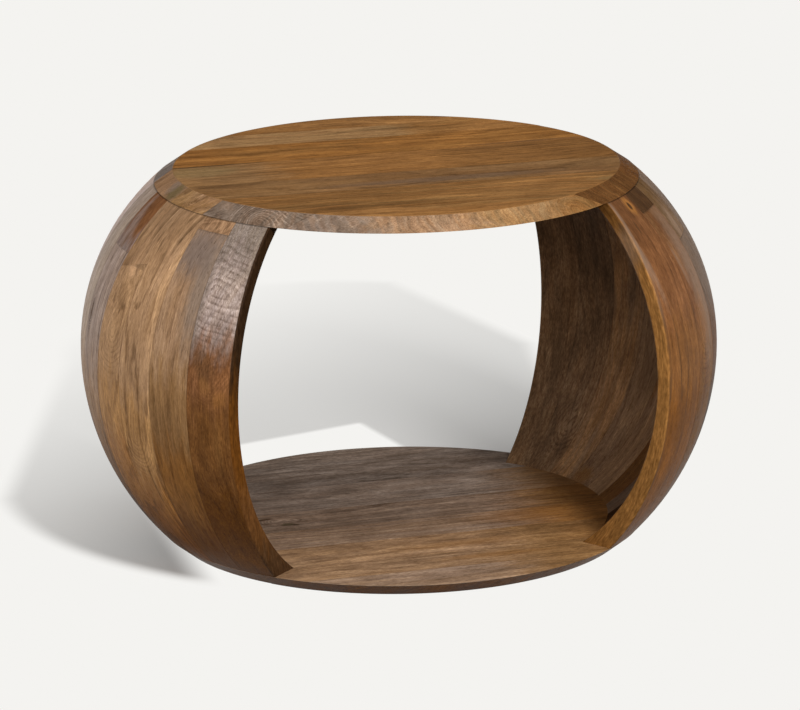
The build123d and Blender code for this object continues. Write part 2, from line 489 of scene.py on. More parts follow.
def stave_bearings(side, sizes):
    """Bearings of the joints between a wall's staves, with its front and back edges."""
    front = sizes.front_bearing
    back = math.pi - sizes.back_bearing
    if side == LEFT:
        return list(np.linspace(front, back, STAVES_PER_WALL + 1))
    return [front, *np.linspace(front + sizes.wide_stave, back, STAVES_PER_WALL)]


# ---------------------------------------------------------------- shape of the planks

PLANK_INPUTS = {
    "Radius below": 0.288, "Radius above": 0.265, "Low": 0.4344, "High": 0.45,
    "Front joint": -0.5, "Back joint": 0.5, "Turn": 0.0, "Joint arris": 0.0004,
    "Outer arris": 0.0015, "Outer arris radius": 0.265, "Widest arris": 0.0015, "Wood": None,
}
RIM_POINTS = 288
RIM_WIDTH = 0.0005
STRIP_LENGTH = 2.0
STRIP_HEIGHT = 1.0


def plank_tree():
    """Tree that cuts one plank out of a disc with a sloping rim."""
    tree, given, result = new_tree(
        "Disc plank", "GeometryNodeTree", PLANK_INPUTS, {"Plank": "NodeSocketGeometry"}
    )
    low, high = given["Low"], given["High"]
    front, back = given["Front joint"], given["Back joint"]

    def moved(geometry, **change):
        """The geometry, moved or turned."""
        return add_node(tree, "GeometryNodeTransform", {"Geometry": geometry, **change})[0]

    cone = {
        "Vertices": RIM_POINTS,
        "Radius Top": given["Radius above"],
        "Radius Bottom": given["Radius below"],
        "Depth": high - low,
    }
    disc = add_node(tree, "GeometryNodeMeshCone", cone, fill_type="NGON")["Mesh"]
    disc = moved(disc, Translation=join_vector(tree, 0.0, 0.0, low))
    box = {"Size": join_vector(tree, STRIP_LENGTH, back - front, STRIP_HEIGHT)}
    strip = add_node(tree, "GeometryNodeMeshCube", box)["Mesh"]
    strip = moved(strip, Translation=join_vector(tree, 0.0, (front + back) * 0.5, low))
    strip = moved(strip, Rotation=join_vector(tree, 0.0, 0.0, given["Turn"]))
    sawn = add_node(tree, "GeometryNodeMeshBoolean", operation="INTERSECT", solver="EXACT")
    for solid in (disc, strip):
        tree.links.new(solid.socket, sawn.node.inputs["Mesh 2"])

    x, y, _ = split_vector(add_node(tree, "GeometryNodeInputPosition")[0])
    radial = (x * x + y * y).of("SQRT")
    on_rim = (radial - given["Outer arris radius"]).of("ABSOLUTE") < RIM_WIDTH
    joint = given["Joint arris"]
    arris = joint + (given["Outer arris"] - joint) * on_rim
    finish_tree(tree, result, sawn["Mesh"], given["Wood"], arris / given["Widest arris"])
    return tree


# ---------------------------------------------------------------- making pieces

ARRIS_SEGMENTS = 3


def add_object(name, data):
    """A new object in the scene."""
    made = bpy.data.objects.new(name, data)
    bpy.context.scene.collection.objects.link(made)
    return made


def grow(tree, values, name):
    """Runs a tree with the given inputs, rounds the arrises and returns one plain mesh."""
    host = add_object(name + "_host", bpy.data.meshes.new(name + "_host"))
    shape = host.modifiers.new("Shape", "NODES")
    shape.node_group = tree
    for item in tree.interface.items_tree:
        if item.item_type == "SOCKET" and item.in_out == "INPUT":
            shape[item.identifier] = values[item.name]
    rounding = host.modifiers.new("Arrises", "BEVEL")
    rounding.limit_method = "WEIGHT"
    rounding.width = values["Widest arris"]
    rounding.segments = ARRIS_SEGMENTS
    rounding.harden_normals = True
    depsgraph = bpy.context.evaluated_depsgraph_get()
    mesh = bpy.data.meshes.new_from_object(
        host.evaluated_get(depsgraph), preserve_all_data_layers=True, depsgraph=depsgraph
    )
    mesh.name = name
    spent = host.data
    bpy.data.objects.remove(host)
    bpy.data.meshes.remove(spent)
    if not mesh.polygons:
        raise RuntimeError(f"{name} came out empty")
    return mesh


def point_array(mesh):
    """The mesh's points as rows of x, y and z."""
    points = np.empty(len(mesh.vertices) * 3, np.float32)
    mesh.vertices.foreach_get("co", points)
    return points.reshape(-1, 3).astype(float)


def store_in_mm(mesh, name, columns):
    """Keeps three columns of metres at the points, as a vector in millimetres for the wood."""
    vectors = np.stack(columns, axis=1) / MM
    attribute = mesh.attributes.new(name, "FLOAT_VECTOR", "POINT")
    attribute.data.foreach_set("vector", vectors.astype(np.float32).ravel())


def place_piece(mesh, node):
    """Makes the mesh a piece of the table that stands for one CAD node."""
    for name in ("cell", "bevel_weight_edge"):
        spent = mesh.attributes.get(name)
        if spent:
            mesh.attributes.remove(spent)
    piece = add_object(node + "_wood", mesh)
    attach(piece, "root")
    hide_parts(node)
    return piece


# ---------------------------------------------------------------- wood

ORIGIN = (0.0, 0.0, 0.0)
UNTINTED = (1.0, 1.0, 1.0)
TINT_LIMITS = (0.5, 1.6)

# Grains of each noise in the wood, in millimetres: across the board, through it and along it
RING_WANDER = (70, 70, 210)
RING_RIPPLE = (12, 12, 60)
RING_FADE = (9, 9, 32)
BAND = (17, 17, 400)
LINE = (1.5, 1.5, 120)
FIBRE = (1.25, 1.25, 36)
FLECK = (1.9, 1.9, 5.5)
CLOUD = (21, 21, 48)
DRIFT = (50, 50, 130)
PORE = (1.0, 1.0, 9.0)
LOOP_WANDER = (38, 38, 38)
LOOP_FADE = (8, 8, 8)
PATCH_EDGE = (5, 5, 11)
TONE_EDGE = (8, 8, 30)
SAW_MARK = (2.2, 2.2, 9)

# Grains of the dowels' fibres, in metres: across them twice and along them
DOWEL_FIBRE = (MM, MM, 14 * MM)

# Where each noise begins to show, and where it shows fully
RING_SHOWS = (0.40, 0.62)
LINE_SHOWS = (0.58, 0.74)
PORE_SHOWS = (0.60, 0.70)
HUE_SHOWS = (0.42, 0.58)
DRIFT_SHOWS = (0.45, 0.60)
LOOP_SHOWS = (0.36, 0.58)
# The band of painted highlight along an arris
PAINTED_BAND_SHOWS = (0.40, 0.60)
GLUE_SHOWS = (0.42, 0.62)

# The dark line of a ring or loop: where in its width it rises, and where it falls away
LATE_RISE, LATE_FALL = (0.45, 0.92), (1.0, 0.96)
LOOP_RISE, LOOP_FALL = (0.40, 0.88), (1.0, 0.92)
# Where loops are gone, and where they show fully, as shares of their half sizes
LOOPS_END = (1.2, 0.65)

# How fast the streaks change: from ring to ring, across the board and along it
STREAK_PACE = (0.21, 0.02, 0.0042)

# How far the rings ripple and the loops sway, in millimetres
RIPPLE = 4.5
LOOP_SWAY = (12.0, 6.0)

# What a stop does to red, green and blue, as powers of e
STOP_WARMTH = (0.64, 0.70, 0.76)


def noise(tree, vector, grain, detail=2.0, roughness=0.5, output="Fac"):
    """Noise of the given grain."""
    scaled = vector_maths(tree, "MULTIPLY", vector, tuple(1.0 / size for size in grain))
    inputs = {"Vector": scaled, "Scale": 1.0, "Detail": detail, "Roughness": roughness}
    return add_node(tree, "ShaderNodeTexNoise", inputs)[output]


def ring_tone(tree, ring):
    """Noise from ring to ring."""
    inputs = {"W": ring, "Scale": 1.0, "Detail": 2.0, "Roughness": 0.6}
    return add_node(tree, "ShaderNodeTexNoise", inputs, noise_dimensions="1D")["Fac"]


def turned(tree, vector, turn):
    """A vector turned in the plane of the board's face."""
    inputs = {"Vector": vector, "Angle": turn}
    return add_node(tree, "ShaderNodeVectorRotate", inputs, rotation_type="Y_AXIS")["Vector"]


def exposed(tree, colour_now, stops):
    """A colour made lighter or darker by a number of stops, a little warmer where it is darker."""
    gains = [(stops * warmth).of("EXPONENT") for warmth in STOP_WARMTH]
    return vector_maths(tree, "MULTIPLY", colour_now, join_vector(tree, *gains))


FIGURE_DEFAULTS = {
    "ring_width": 9.0, "rings": 0.3, "wander": 42.0, "streaks": 0.5, "mottle": 0.5,
    "pores": 0.5, "fibre": 1.0, "blend": 0.4, "drift_share": 0.35,
}
BOARD_DEFAULTS = {
    **FIGURE_DEFAULTS,
    "tones": None, "tone_blend": 32.0, "streak": "golden", "drift": "umber",
    "pith": (40.0, -60.0), "follow": 0.85, "depth": 1.0, "loops": (), "patches": (),
    "arris": None, "cut_face": None, "rim": None, "seams": 0.45,
    "low_slant": 0.0, "high_slant": 0.0,
}


def label(key):
    """The name of the figure's input for a choice of a board."""
    return key.replace("_", " ").capitalize()


def figure_group():
    """Solid mango figure, in millimetres: rings round a pith, streaks, mottle and pores."""
    tree, given, result = new_tree(
        "Mango figure",
        "ShaderNodeTree",
        {
            "Grain": ORIGIN, "Log place": ORIGIN, "Pith": ORIGIN, "Stain": (0.2, 0.1, 0.05, 1.0),
            "Streak tint": UNTINTED, "Drift tint": UNTINTED,
            **{label(key): default for key, default in FIGURE_DEFAULTS.items()},
        },
        {"Color": "NodeSocketColor", "Roughness": "NodeSocketFloat", "Height": "NodeSocketFloat"},
    )
    grain = given["Grain"]
    placed = vector_maths(tree, "ADD", grain, given["Log place"])
    across, depth, along = split_vector(grain)
    pith_across, pith_depth, _ = split_vector(given["Pith"])

    # The rings wander along the log and ripple from board to board
    wander_x, wander_y, _ = split_vector(noise(tree, placed, RING_WANDER, 1.0, 0.5, "Color"))
    ripple_x, ripple_y, _ = split_vector(noise(tree, placed, RING_RIPPLE, 2.0, 0.5, "Color"))
    wander = given["Wander"]
    ring_x = across - pith_across + wander_x.swing(wander) + ripple_x.swing(RIPPLE)
    ring_y = depth - pith_depth + wander_y.swing(wander) + ripple_y.swing(RIPPLE)
    ring_radius = (ring_x * ring_x + ring_y * ring_y).of("SQRT")
    ring = ring_radius / given["Ring width"]
    tone = ring_tone(tree, ring * 0.85)
    growth = ring.of("FRACT")
    late_line = growth.ramp(*LATE_RISE) * growth.ramp(*LATE_FALL)
    faded = noise(tree, placed, RING_FADE, 2.0, 0.6).ramp(*RING_SHOWS)

    places = zip((ring_radius, across, along), STREAK_PACE)
    streak_place = join_vector(tree, *(place * pace for place, pace in places))
    inputs = {"Vector": streak_place, "Scale": 1.0, "Detail": 4.0, "Roughness": 0.65}
    streak, streak_hue, _ = split_vector(add_node(tree, "ShaderNodeTexNoise", inputs)["Color"])
    band = noise(tree, placed, BAND, 2.0, 0.55)
    line = noise(tree, placed, LINE, 1.0, 0.4).ramp(*LINE_SHOWS)
    fibre = noise(tree, placed, FIBRE, 2.0, 0.6)
    fleck = noise(tree, placed, FLECK, 2.0, 0.65)
    cloud = noise(tree, placed, CLOUD, 3.0, 0.6)
    drift = noise(tree, placed, DRIFT, 3.0, 0.6)
    pore = noise(tree, placed, PORE, 1.0, 0.4).ramp(*PORE_SHOWS)

    # Everything that lightens or darkens the stain, in stops
    shade = (
        0.24
        + given["Streaks"] * (streak.swing(3.4) + band.swing(2.0))
        - given["Streaks"] * line * 0.8
        + given["Rings"] * tone.swing(2.2)
        - given["Rings"] * late_line * faded * 1.7
        + given["Fibre"] * fibre.swing(1.6)
        + given["Mottle"] * (fleck.swing(2.2) + cloud.swing(2.2))
        - given["Pores"] * pore
    )
    streaked = given["Blend"] * streak_hue.ramp(*HUE_SHOWS)
    streaked = mix(tree, streaked, UNTINTED, given["Streak tint"], "VECTOR")
    drifted = given["Drift share"] * drift.ramp(*DRIFT_SHOWS)
    drifted = mix(tree, drifted, UNTINTED, given["Drift tint"], "VECTOR")
    tint = vector_maths(tree, "MULTIPLY", streaked, drifted)
    tinted = vector_maths(tree, "MULTIPLY", given["Stain"], tint)
    height = 1.0 - pore * given["Pores"] + fibre.swing(0.7) + shade * 0.05
    put(tree, exposed(tree, tinted, shade), result.inputs["Color"])
    put(tree, 0.42 + pore * 0.20 + cloud.swing(0.22), result.inputs["Roughness"])
    put(tree, height, result.inputs["Height"])
    return tree


def patch_group():
    """Soft-edged place on a board: 1 at its centre, 0 outside its half sizes."""
    tree, given, result = new_tree(
        "Board patch",
        "ShaderNodeTree",
        {
            "Grain": ORIGIN, "Centre": ORIGIN, "Half size": (10.0, 10.0, 10.0), "Turn": 0.0,
            "Softness": 0.4, "Wobble": 0.4,
        },
        {"Mask": "NodeSocketFloat"},
    )
    off = vector_maths(tree, "SUBTRACT", given["Grain"], given["Centre"])
    shrunk = vector_maths(tree, "DIVIDE", turned(tree, off, given["Turn"]), given["Half size"])
    uneven = noise(tree, given["Grain"], PATCH_EDGE, 3.0, 0.6, "Color")
    uneven = vector_maths(tree, "SUBTRACT", uneven, (0.5, 0.5, 0.5))
    pushed = scaled_vector(tree, uneven, given["Wobble"] * 2.0)
    reach = vector_length(tree, vector_maths(tree, "ADD", shrunk, pushed))
    mask = reach.ramp(1.0 + given["Softness"], 1.0 - given["Softness"])
    put(tree, mask, result.inputs["Mask"])
    return tree


def loop_group():
    """Rings round a place, drawn out to one side into long loops, as stops of darkening."""
    tree, given, result = new_tree(
        "Grain loops",
        "ShaderNodeTree",
        {
            "Grain": ORIGIN, "Centre": ORIGIN, "Half size": (30.0, 30.0, 30.0), "Turn": 0.0,
            "Spacing": 4.5, "Tail": 0.15,
        },
        {"Shade": "NodeSocketFloat"},
    )
    off = vector_maths(tree, "SUBTRACT", given["Grain"], given["Centre"])
    sideways, _, onwards = split_vector(turned(tree, off, given["Turn"]))
    wander = noise(tree, given["Grain"], LOOP_WANDER, 1.0, 0.4, "Color")
    wander_x, wander_y, _ = split_vector(wander)
    sway_x, sway_y = LOOP_SWAY
    sideways = sideways + wander_x.swing(sway_x)
    drawn_out = onwards.of("MAXIMUM", 0.0) * given["Tail"] + onwards.of("MINIMUM", 0.0)
    drawn_out = drawn_out + wander_y.swing(sway_y)
    ring = (sideways * sideways + drawn_out * drawn_out).of("SQRT") / given["Spacing"]
    growth = ring.of("FRACT")
    line = growth.ramp(*LOOP_RISE) * growth.ramp(*LOOP_FALL)
    tone = ring_tone(tree, ring * 0.7)
    faded = noise(tree, given["Grain"], LOOP_FADE, 2.0, 0.6).ramp(*LOOP_SHOWS)
    outside = vector_length(tree, vector_maths(tree, "DIVIDE", off, given["Half size"]))
    mask = (outside + wander_y.swing(0.8)).ramp(*LOOPS_END)
    shade = line * (0.25 + faded * 0.8) - tone.swing(2.2) - 0.15
    put(tree, mask * shade, result.inputs["Shade"])
    return tree


def use_group(tree, name, make, values):
    """Adds one of the groups above and returns its outputs."""
    group = {"node_tree": named_tree(name, make)}
    return add_node(tree, "ShaderNodeGroup", values, **group)


def board(stain, **choices):
    """How one board looks. What isn't chosen is as BOARD_DEFAULTS says."""
    unknown = set(choices) - set(BOARD_DEFAULTS)
    if unknown:
        raise ValueError(f"a board has no {sorted(unknown)}")
    return {**BOARD_DEFAULTS, "stain": stain, **choices}


def base_board(stain, **choices):
    """A board of the base: calm and cloudy, with a dark rim."""
    common = {"tone_blend": 60.0, "mottle": 0.9, "streaks": 0.38, "fibre": 0.8}
    return board(stain, rim=((-300, "chestnut", 0.62),), **{**common, **choices})


def front_board(stain, **choices):
    """A board near the front of a wall: calm, with fine joints."""
    return board(stain, **{"streaks": 0.3, "seams": 0.3, **choices})


BOARD_DEPTH = 400.0


def board_place(across, along, half_across, half_along, degrees):
    """A place on a board in millimetres, turned by an angle; it goes right through the board."""
    return {
        "Centre": (across, 0.0, along),
        "Half size": (half_across, BOARD_DEPTH, half_along),
        "Turn": math.radians(degrees),
    }


def loops(
    across, along, half_across, half_along, degrees,
    spacing=4.5, tail=0.15, strength=1.0, rim=False,
):
    """Loops of grain round a place. Their open ends point away at that angle from the length."""
    place = board_place(across, along, half_across, half_along, degrees)
    place = {**place, "Spacing": spacing, "Tail": tail}
    return {"strength": strength, "rim": rim, "place": place}


def patch(
    stain, across, along, half_across, half_along,
    share=1.0, depth=1.0, turn=0.0, softness=0.45, wobble=0.5, rim=False,
):
    """A stained place on a board, or painted light. Without a stain, depth only darkens or lightens
    it.
    """
    place = board_place(across, along, half_across, half_along, turn)
    place = {**place, "Softness": softness, "Wobble": wobble}
    return {"stain": stain, "share": share, "depth": depth, "rim": rim, "place": place}


def stain_colour(name, stains, depth=1.0):
    """A stain's colour, made lighter or darker by a factor, and opaque."""
    return (*(min(1.0, channel * depth) for channel in getattr(stains, name)), 1.0)


def tint_between(main, other, stains):
    """What turns one stain part of the way into another, as a factor for each channel."""
    ratios = (b / a for a, b in zip(getattr(stains, main), getattr(stains, other)))
    weakest, strongest = TINT_LIMITS
    return tuple(min(strongest, max(weakest, math.sqrt(ratio))) for ratio in ratios)


def graded(tree, along, tones, stains, blend=BOARD_DEFAULTS["tone_blend"]):
    """Stains that give way to one another along a board. Each tone is (place, stain, depth)."""
    _, name, depth = tones[0]
    colour_now = stain_colour(name, stains, depth)
    for place, name, depth in tones[1:]:
        reached = along.ramp(place - blend, place + blend)
        colour_now = mix(tree, reached, colour_now, stain_colour(name, stains, depth))
    return colour_now


def new_material(name):
    """An empty material and its tree."""
    material = bpy.data.materials.new(name)
    material.use_nodes = True
    material.node_tree.nodes.clear()
    return material, material.node_tree


# The bevel begins at this distance from the axis in metres, and so many millimetres down
BEVEL_BEGINS = (0.2642, 0.2660)
BELOW_TOP = (-0.2, -0.9)
SAWN_END_TURN = (math.radians(38), math.radians(28), 0.0)
# How far the stains stray along a board, in millimetres
STRAY = 90.0
# Millimetres from the front edge: where the cut face ends, and the band along it where a highlight
# is painted
CUT_FACE_ENDS = (3.2, 1.8)
PAINTED_BAND_FROM, PAINTED_BAND_TO = (0.4, 1.6), (8.5, 3.5)
# Millimetres from a joint within which it is dark, and how light it then is
SIDE_LINE, END_LINE = (1.2, 0.2), (1.5, 0.3)
DARK_UNDER_BLOCK, DARK_UNDER_TOP = 0.3, 0.75
JOINT_LIGHT = 0.16
SPECULAR_LEVEL = 0.03
PORE_DEPTH = 0.00025


def board_wood(name, look, stains):
    """One board's material: log place, stains, marks, joints, painted sheen, highlight and
    reflection.
    """
    wood, tree = new_material(name + " mango")
    chance = random.Random(name)
    log_place = tuple(chance.uniform(-900, 900) for _ in range(3))

    grain, seam = (
        add_node(tree, "ShaderNodeAttribute", attribute_name=kept)["Vector"]
        for kept in ("grain", "seam")
    )
    front_gap, back_gap, end_gap = split_vector(seam)
    _, depth, along = split_vector(grain)
    uneven = noise(tree, grain, TONE_EDGE, 3.0, 0.55)
    loose_along = along + uneven.swing(STRAY)
    stain = stain_colour(look["stain"], stains, look["depth"])
    if look["tones"]:
        stain = graded(tree, loose_along, look["tones"], stains, look["tone_blend"])
    bent = grain
    on_rim = 0.0
    if look["rim"]:
        x, y, _ = split_vector(add_node(tree, "ShaderNodeTexCoord")["Object"])
        on_rim = (x * x + y * y).of("SQRT").ramp(*BEVEL_BEGINS) * depth.ramp(*BELOW_TOP)
        stain = mix(tree, on_rim, stain, graded(tree, loose_along, look["rim"], stains))
        turn = {"Vector": bent, "Rotation": SAWN_END_TURN}
        bent = mix(tree, on_rim, bent, add_node(tree, "ShaderNodeMapping", turn)[0], "VECTOR")

    figure_values = {
        "Grain": bent,
        "Log place": log_place,
        "Pith": (*look["pith"], 0.0),
        "Stain": stain,
        "Streak tint": tint_between(look["stain"], look["streak"], stains),
        "Drift tint": tint_between(look["stain"], look["drift"], stains),
        **{label(key): look[key] for key in FIGURE_DEFAULTS},
    }
    figure = use_group(tree, "Mango figure", figure_group, figure_values)
    colour_now = figure["Color"]
    for place in look["loops"]:
        values = {"Grain": grain, **place["place"]}
        shade = use_group(tree, "Grain loops", loop_group, values)["Shade"]
        if place["rim"]:
            shade = shade * on_rim
        colour_now = exposed(tree, colour_now, shade * -place["strength"])

    if look["cut_face"]:
        cut = graded(tree, loose_along, look["cut_face"], stains)
        cut = exposed(tree, cut, noise(tree, grain, SAW_MARK, 3.0, 0.6).swing(3.2))
        colour_now = mix(tree, front_gap.ramp(*CUT_FACE_ENDS), colour_now, cut)

    for place in look["patches"]:
        values = {"Grain": grain, **place["place"]}
        mask = use_group(tree, "Board patch", patch_group, values)["Mask"]
        if place["stain"]:
            tone = stain_colour(place["stain"], stains, place["depth"])[:3]
            tone = exposed(tree, tone, (figure["Height"] - 0.9) * 1.6)
        else:
            tone = scaled_vector(tree, colour_now, place["depth"])
        if look["rim"]:
            mask = mask * (on_rim if place["rim"] else 1.0 - on_rim)
        colour_now = mix(tree, mask * place["share"], colour_now, tone)

    # Painted highlight: a band along the front arris, in the tones the board gives it
    if look["arris"]:
        painted_arris_band = graded(tree, along, look["arris"], stains)
        painted_band_mask = front_gap.ramp(*PAINTED_BAND_FROM) * front_gap.ramp(*PAINTED_BAND_TO)
        painted_band_mask = painted_band_mask * (0.2 + 0.5 * uneven.ramp(*PAINTED_BAND_SHOWS))
        colour_now = mix(tree, painted_band_mask, colour_now, painted_arris_band)

    # Glue and stain gather along the joints, here more and there less
    side_line = front_gap.of("MINIMUM", back_gap).ramp(*SIDE_LINE)
    side_line = side_line * (0.25 + 0.75 * uneven.ramp(*GLUE_SHOWS)) * look["seams"]
    darkness = DARK_UNDER_BLOCK if name.endswith("_lower") else DARK_UNDER_TOP
    end_line = end_gap.ramp(*END_LINE) * darkness
    lined = side_line.of("MAXIMUM", end_line)
    colour_now = mix(tree, lined, colour_now, scaled_vector(tree, colour_now, JOINT_LIGHT))

    bump = {"Strength": 0.6, "Distance": PORE_DEPTH, "Height": figure["Height"]}
    lacquer = {
        "Base Color": colour_now,
        "Roughness": figure["Roughness"],
        "Normal": add_node(tree, "ShaderNodeBump", bump)["Normal"],
        "Specular IOR Level": SPECULAR_LEVEL,
    }
    shader = add_node(tree, "ShaderNodeBsdfPrincipled", lacquer)["BSDF"]
    add_node(tree, "ShaderNodeOutputMaterial", {"Surface": shader})
    return wood


# ---------------------------------------------------------------- what each board looks like
#
# Planks: across is from the plank's middle to the back, along is from the left to the right.
# Staves: across is from the stave's middle away from the front opening, along is the height.

TOP_BOARDS = [
    board(
        "golden", pith=(60, -110), streak="olive", drift="tan",
        tones=((-300, "golden", 1.0), (0, "golden", 0.9), (120, "golden", 0.76)),
        rim=(
            # The copper on the front of the bevel is partly painted highlight
            (-300, "ash", 0.8), (-98, "copper", 0.88), (-24, "copper", 0.98), (20, "tan", 0.95),
            (130, "golden", 0.85),
        ),
    ),
    board(
        "golden", pith=(-80, -90), streak="olive", drift="umber", drift_share=0.15, streaks=0.6,
        tones=((-300, "golden", 0.85), (0, "golden", 0.95)),
        patches=(
            patch(None, -30, -60, 9, 95, share=0.8, depth=0.55, turn=-2),
            patch(None, -12, -130, 5, 70, share=0.6, depth=0.7),
            patch("olive", 14, 235, 9, 40, share=0.5, depth=1.2),
        ),
        rim=((-300, "ash", 0.74), (-185, "ash", 0.62), (0, "russet", 0.62)),
        loops=(
            loops(-18, -214, 46, 40, 60, spacing=3.2, tail=0.3, strength=-0.8, rim=True),
            loops(-30, -150, 40, 50, -30, spacing=3.5, tail=0.3, strength=0.5, rim=True),
        ),
    ),
    board(
        "grey", pith=(40, -150), streak="golden", drift="plum", drift_share=0.12,
        tones=((-300, "grey", 1.05), (-60, "grey", 0.95), (60, "grey", 0.97)),
        patches=(patch("slate", -14, 30, 11, 130, share=0.35, depth=0.55),),
        rim=((-300, "tan", 0.76), (-258, "copper", 0.8), (0, "russet", 0.6)),
        loops=(loops(0, -262, 30, 22, 30, spacing=3.0, tail=0.3, strength=-0.6, rim=True),),
    ),
    board(
        "golden", pith=(-120, -70), streak="amber", drift="grey", drift_share=0.25,
        tones=(
            (-300, "tan", 0.85), (-150, "golden", 1.02), (70, "golden", 0.8),
            (180, "golden", 0.68),
        ),
        patches=(
            patch("olive", 20, -235, 26, 45, share=0.45, depth=1.5),
            patch("olive", -36, -275, 13, 12, share=0.85, depth=0.9, turn=20, rim=True),
            patch("slate", -20, -272, 9, 10, share=0.6, depth=0.8, rim=True),
            patch("umber", 49, -222, 3.0, 62, share=0.9, depth=0.6, softness=0.5, wobble=0.2),
        ),
        rim=((-300, "copper", 0.87), (0, "russet", 0.6)),
    ),
    board(
        "amber", pith=(90, -120), streak="golden", drift="olive", drift_share=0.2,
        tones=((-300, "amber", 0.95), (60, "amber", 1.04), (190, "amber", 0.92)),
        patches=(patch("umber", -36, 190, 5, 90, share=0.7, depth=1.3),),
        rim=((-300, "slate", 0.9), (0, "russet", 0.6)),
    ),
    board(
        "tan", pith=(50, -90), streak="olive", drift="grey", drift_share=0.15,
        tones=((-300, "tan", 1.04), (60, "golden", 1.2)),
        rim=((-300, "slate", 0.9), (0, "umber", 1.2)),
    ),
    board(
        "golden", pith=(-60, -140), streak="tan", drift="tan",
        rim=((-300, "slate", 0.9), (0, "umber", 1.2)),
    ),
]

# Greyer at the left and warmer at the right: partly stain, partly painted reflection
BASE_BOARDS = [
    base_board(
        "ash", pith=(60, -110), streak="tan", drift="slate",
        tones=((-300, "ash", 1.15), (70, "tan", 0.95)),
    ),
    base_board(
        "sand", pith=(-80, -90), streak="tan", drift="ash",
        tones=((-300, "sand", 0.95), (-70, "sand", 0.86), (85, "tan", 0.85)),
        patches=(
            patch("honey", 4, 60, 9, 60, share=0.45, depth=0.8, softness=0.7),
            patch("plum", 6, 190, 4, 12, share=0.7, depth=1.5, turn=20),
        ),
    ),
    base_board(
        "sand", pith=(40, -150), streak="tan", drift="ash",
        tones=((-300, "sand", 1.02), (-30, "sand", 1.15), (85, "tan", 1.04), (180, "golden", 0.9)),
        patches=(patch("honey", -8, 30, 12, 70, share=0.4, depth=0.8, softness=0.7),),
    ),
    base_board(
        "ash", pith=(-120, -70), streak="tan", drift="slate",
        tones=((-300, "ash", 1.2), (30, "ash", 1.25), (130, "golden", 1.15)),
        patches=(patch("amber", 10, 130, 20, 55, share=0.4, depth=1.1, softness=0.7),),
    ),
    base_board(
        "ash", pith=(90, -120), streak="slate", drift="slate",
        tones=((-300, "ash", 1.0), (0, "ash", 1.15), (150, "golden", 1.0)),
        loops=(loops(6, -152, 22, 34, 0, spacing=4.0, tail=0.4, strength=0.8),),
        patches=(
            patch("umber", 18, -166, 3, 12, share=0.85, depth=0.6, turn=-10, softness=0.4),
            patch("olive", -10, -142, 5, 9, share=0.8, depth=0.5),
            patch("umber", -14, -134, 3, 5, share=0.8, depth=0.4),
        ),
    ),
    base_board(
        "slate", pith=(50, -90), streak="ash", drift="ash",
        tones=((-300, "slate", 1.2), (-70, "slate", 1.36), (170, "tan", 0.95)),
    ),
    base_board(
        "slate", depth=0.95, pith=(-60, -140), streak="ash", drift="ash", streaks=0.5, fibre=1.0,
    ),
]

